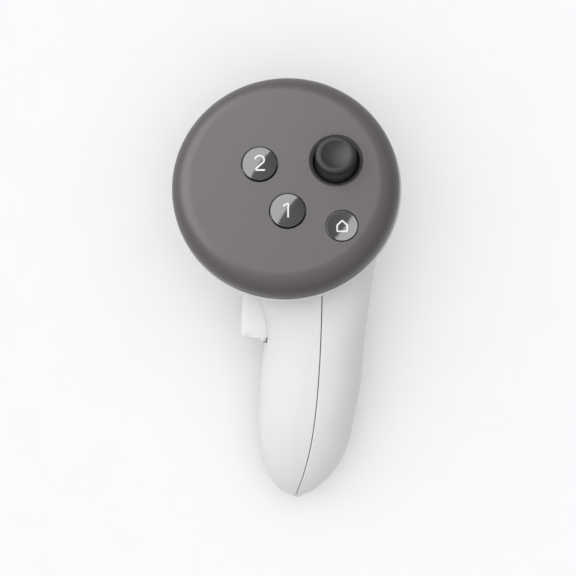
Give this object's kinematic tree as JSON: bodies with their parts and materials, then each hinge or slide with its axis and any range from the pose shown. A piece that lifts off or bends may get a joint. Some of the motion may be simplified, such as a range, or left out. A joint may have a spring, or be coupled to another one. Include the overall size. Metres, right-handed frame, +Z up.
{
  "type": "vr motion controller",
  "caption": "Right-hand motion controller: round dark face with thumbstick and domed buttons, index trigger, side grip button and angled battery handle.",
  "frame": {"origin": "middle of the overall box at table level, with the controller lying face up on its trigger tip and handle", "axes": "+Y from the handle tip to the head, +X to the thumbstick side, +Z up out of the table"},
  "size_m": [0.0682, 0.1256, 0.0428],
  "materials": {
    "dark_plastic": "satin",
    "button_gloss": "polished",
    "white_plastic": "fine satin",
    "stick_rubber": "matte",
    "inner_plastic": "moulded",
    "steel": "plain",
    "silicone": "translucent",
    "flex": "polyimide film",
    "board": "solder mask",
    "chip": "moulded",
    "magnet": "nickel plated",
    "cell_label": "printed sleeve",
    "contact_metal": "plated",
    "pale_plastic": "moulded"
  },
  "bodies": {
    "controller": {"face_cover": "dark_plastic", "screws": "steel", "inner_frame": "inner_plastic", "led_ring_flex": "flex", "ir_leds": "chip", "button_membrane": "silicone", "switch_flex": "flex", "main_pcb": "board", "stick_base": "inner_plastic", "stick_sensors": "chip", "click_switch": "pale_plastic", "stick_spring": "steel", "trigger_bracket": "inner_plastic", "trigger_pin": "steel", "trigger_spring": "steel", "sensor_chips": "chip", "grip_bracket": "inner_plastic", "grip_pin": "steel", "grip_spring": "steel", "body_shell": "white_plastic", "battery_cradle": "inner_plastic", "battery_cell": "cell_label", "battery_spring": "steel", "battery_contact": "contact_metal", "battery_flex": "flex", "haptic_motor": "steel", "strap_anchor": "white_plastic"},
    "stick_gimbal": {"stick_yoke_x": "steel"},
    "stick_carrier": {"stick_hub": "pale_plastic"},
    "stick": {"stick_shaft": "steel", "stick_skirt": "stick_rubber", "thumb_cap": "stick_rubber"},
    "stick_follower": {"stick_yoke_y": "steel"},
    "lower_button": {"button_a": "button_gloss"},
    "upper_button": {"button_b": "button_gloss"},
    "system_button": {"home_button": "button_gloss"},
    "index_trigger": {"trigger": "white_plastic", "trigger_magnet": "magnet"},
    "grip_pad": {"grip_button": "white_plastic", "grip_magnet": "magnet"},
    "cover": {"battery_cover": "white_plastic"}
  },
  "joints": [
    {"name": "stick_tilt_x", "type": "hinge", "parent": "controller", "child": "stick_gimbal", "pos_m": [0.01499, 0.03597, 0.02766], "axis": [0.9988, 0, 0.0489], "range_deg": [-16, 16], "stiffness_Nm_per_rad": 0.02},
    {"name": "stick_tilt_y", "type": "hinge", "parent": "stick_gimbal", "child": "stick_carrier", "pos_m": [0.01499, 0.03597, 0.02766], "axis": [0.0127, 0.9655, -0.2602], "range_deg": [-16, 16], "stiffness_Nm_per_rad": 0.02},
    {"name": "stick_click", "type": "slide", "parent": "stick_carrier", "child": "stick", "axis": [0.0472, -0.2605, -0.9643], "range_m": [0, 0.0006], "stiffness_N_per_m": 2500, "springref_m": -0.0004},
    {"name": "stick_follow_y", "type": "hinge", "parent": "controller", "child": "stick_follower", "pos_m": [0.01499, 0.03597, 0.02766], "axis": [0.0127, 0.9655, -0.2602], "range_deg": [-16, 16]},
    {"name": "lower_press", "type": "slide", "parent": "controller", "child": "lower_button", "axis": [0.0472, -0.2605, -0.9643], "range_m": [0, 0.0007], "stiffness_N_per_m": 900, "springref_m": -0.0004, "deforming": ["button_membrane"]},
    {"name": "upper_press", "type": "slide", "parent": "controller", "child": "upper_button", "axis": [0.0472, -0.2605, -0.9643], "range_m": [0, 0.0007], "stiffness_N_per_m": 900, "springref_m": -0.0004, "deforming": ["button_membrane"]},
    {"name": "system_press", "type": "slide", "parent": "controller", "child": "system_button", "axis": [0.0472, -0.2605, -0.9643], "range_m": [0, 0.0005], "stiffness_N_per_m": 900, "springref_m": -0.0004, "deforming": ["button_membrane"]},
    {"name": "trigger_pull", "type": "hinge", "parent": "controller", "child": "index_trigger", "pos_m": [0.00196, 0.04924, 0.01784], "axis": [-0.9988, 0, -0.0489], "range_deg": [0, 15], "stiffness_Nm_per_rad": 0.1, "springref_deg": -17.19},
    {"name": "grip_squeeze", "type": "hinge", "parent": "controller", "child": "grip_pad", "pos_m": [-0.0056, 0.00844, 0.01872], "axis": [-0.0481, -0.1702, 0.9842], "range_deg": [0, 12], "stiffness_Nm_per_rad": 0.12, "springref_deg": -14.32},
    {"name": "battery_cover_slide", "type": "slide", "parent": "controller", "child": "cover", "axis": [0.9988, 0, 0.0489], "range_m": [0, 0.045]}
  ],
  "couplings": [
    {"joint": "stick_follow_y", "follows": "stick_tilt_y", "ratio": 1}
  ]
}
